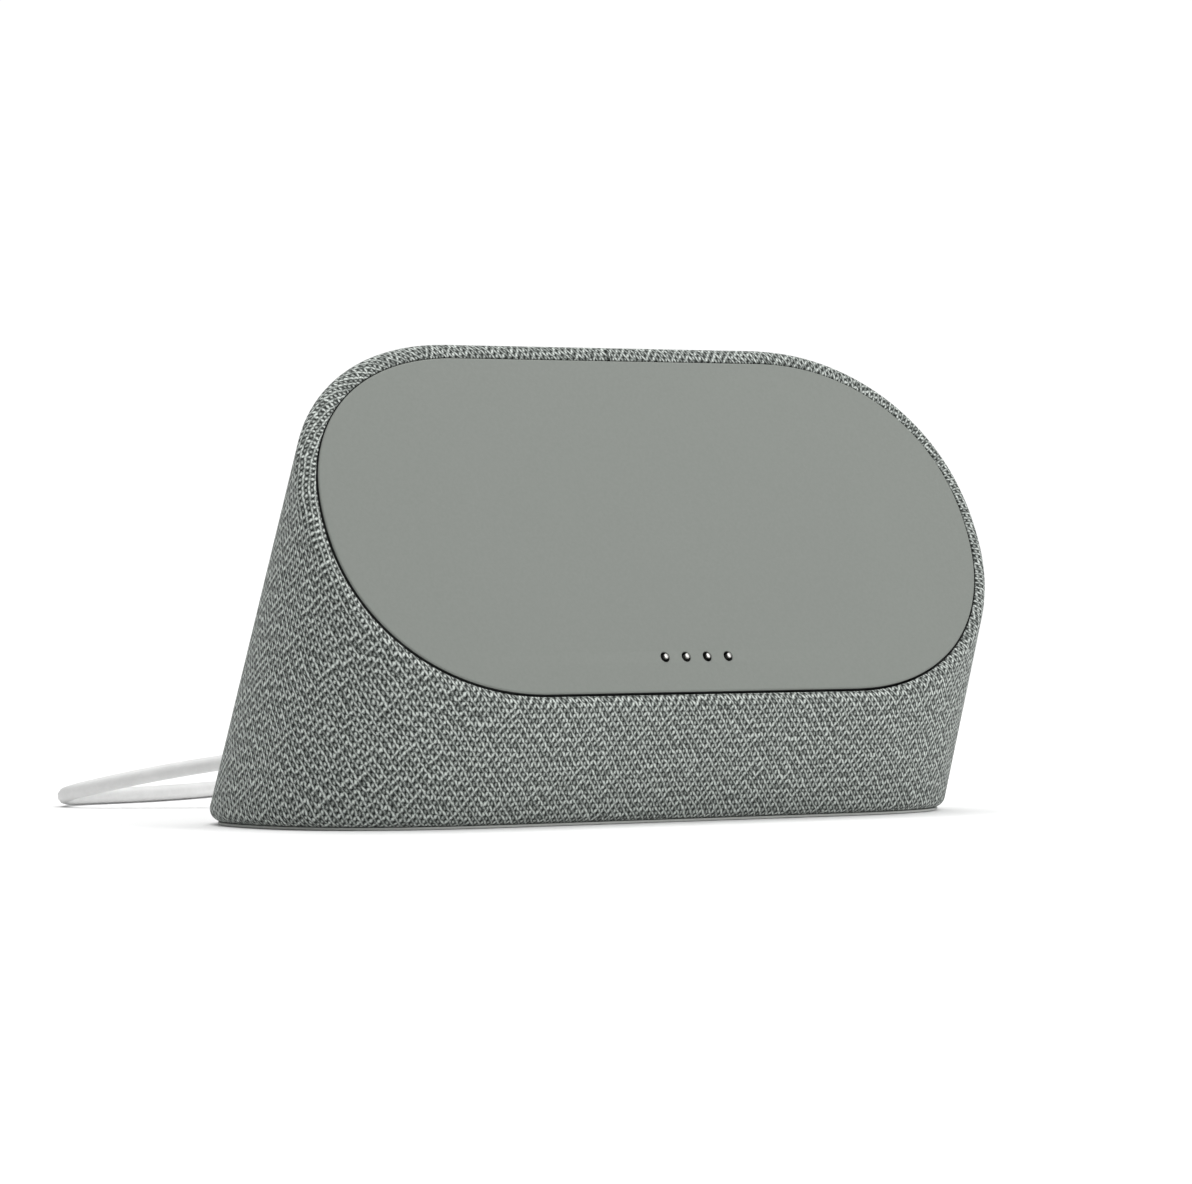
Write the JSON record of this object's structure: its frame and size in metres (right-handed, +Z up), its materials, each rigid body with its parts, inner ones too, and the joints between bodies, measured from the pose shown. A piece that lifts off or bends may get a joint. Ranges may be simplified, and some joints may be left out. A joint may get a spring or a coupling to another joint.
{
  "type": "speaker charging dock",
  "caption": "Fabric-covered wedge-shaped speaker dock with a tilted pill-shaped face plate, a row of sprung contact pins, a rear driver, and a corded adapter.",
  "frame": {"origin": "on the surface that the dock stands on, under the middle of the dock's box, its cord left out", "axes": "+X to the right seen from the front, along the dock's width; +Y from the front to the back; +Z up"},
  "size_m": [0.169, 0.1794, 0.0942],
  "materials": {
    "fabric": "melange weave of light and dark grey-green yarns",
    "soft_touch": "soft-touch coating, matte grey-green",
    "silicone": "matte silicone",
    "dark_plastic": "moulded, fine texture",
    "grey_plastic": "moulded, fine texture",
    "white_plastic": "satin white",
    "cord_jacket": "smooth white elastomer",
    "tie_strap": "white woven strap",
    "circuit_board": "green solder mask",
    "copper": "bare and enamelled copper",
    "contact_metal": "plated, polished",
    "steel": "zinc plated",
    "nickel": "nickel plated",
    "cast_steel": "rough cast",
    "ferrite": "sintered magnet",
    "foam": "soft foam and treated cloth",
    "butyl": "matte rubber",
    "paper_cone": "coated paper"
  },
  "bodies": {
    "dock": {"fabric_sleeve": "fabric", "housing_shell": "dark_plastic", "port_bezel": "grey_plastic", "face_plate": "soft_touch", "face_carrier": "dark_plastic", "carrier_screw_1": "steel", "carrier_screw_2": "steel", "carrier_screw_3": "steel", "carrier_screw_4": "steel", "docking_magnet_1": "nickel", "docking_magnet_2": "nickel", "docking_magnet_3": "nickel", "docking_magnet_4": "nickel", "magnet_yoke_left": "steel", "magnet_yoke_right": "steel", "pin_block": "dark_plastic", "pin_spring_1": "steel", "pin_spring_2": "steel", "pin_spring_3": "steel", "pin_spring_4": "steel", "pin_board": "circuit_board", "pin_flex": "copper", "speaker_gasket": "foam", "speaker_basket": "dark_plastic", "speaker_surround": "butyl", "speaker_spider": "foam", "speaker_top_plate": "steel", "speaker_magnet": "ferrite", "speaker_yoke": "steel", "speaker_screw_1": "steel", "speaker_screw_2": "steel", "speaker_screw_3": "steel", "speaker_screw_4": "steel", "speaker_wire": "copper", "main_board": "circuit_board", "board_shield": "nickel", "power_jack": "dark_plastic", "ballast_left": "cast_steel", "ballast_right": "cast_steel", "base_plate": "dark_plastic", "base_screw_1": "steel", "base_screw_2": "steel", "base_screw_3": "steel", "base_screw_4": "steel", "foot_pad": "silicone", "cord_plug": "white_plastic", "cord_relief": "cord_jacket", "cable_run": "cord_jacket", "cable_coil": "cord_jacket", "coil_tie": "tie_strap", "cable_tail": "cord_jacket", "adapter_relief": "cord_jacket", "power_adapter": "white_plastic"},
    "pin_1": {"contact_pin_1": "contact_metal"},
    "pin_2": {"contact_pin_2": "contact_metal"},
    "pin_3": {"contact_pin_3": "contact_metal"},
    "pin_4": {"contact_pin_4": "contact_metal"},
    "diaphragm": {"speaker_cone": "paper_cone", "speaker_dust_cap": "paper_cone", "voice_coil": "copper"}
  },
  "joints": [
    {"name": "pin_1_press", "type": "slide", "parent": "dock", "child": "pin_1", "axis": [0, 0.9029, -0.4299], "range_m": [0, 0.0006], "stiffness_N_per_m": 600, "springref_m": -0.0005},
    {"name": "pin_2_press", "type": "slide", "parent": "dock", "child": "pin_2", "axis": [0, 0.9029, -0.4299], "range_m": [0, 0.0006], "stiffness_N_per_m": 600, "springref_m": -0.0005},
    {"name": "pin_3_press", "type": "slide", "parent": "dock", "child": "pin_3", "axis": [0, 0.9029, -0.4299], "range_m": [0, 0.0006], "stiffness_N_per_m": 600, "springref_m": -0.0005},
    {"name": "pin_4_press", "type": "slide", "parent": "dock", "child": "pin_4", "axis": [0, 0.9029, -0.4299], "range_m": [0, 0.0006], "stiffness_N_per_m": 600, "springref_m": -0.0005},
    {"name": "cone_stroke", "type": "slide", "parent": "dock", "child": "diaphragm", "axis": [0, 0.9327, 0.3607], "range_m": [-0.0015, 0.0015], "stiffness_N_per_m": 900}
  ]
}
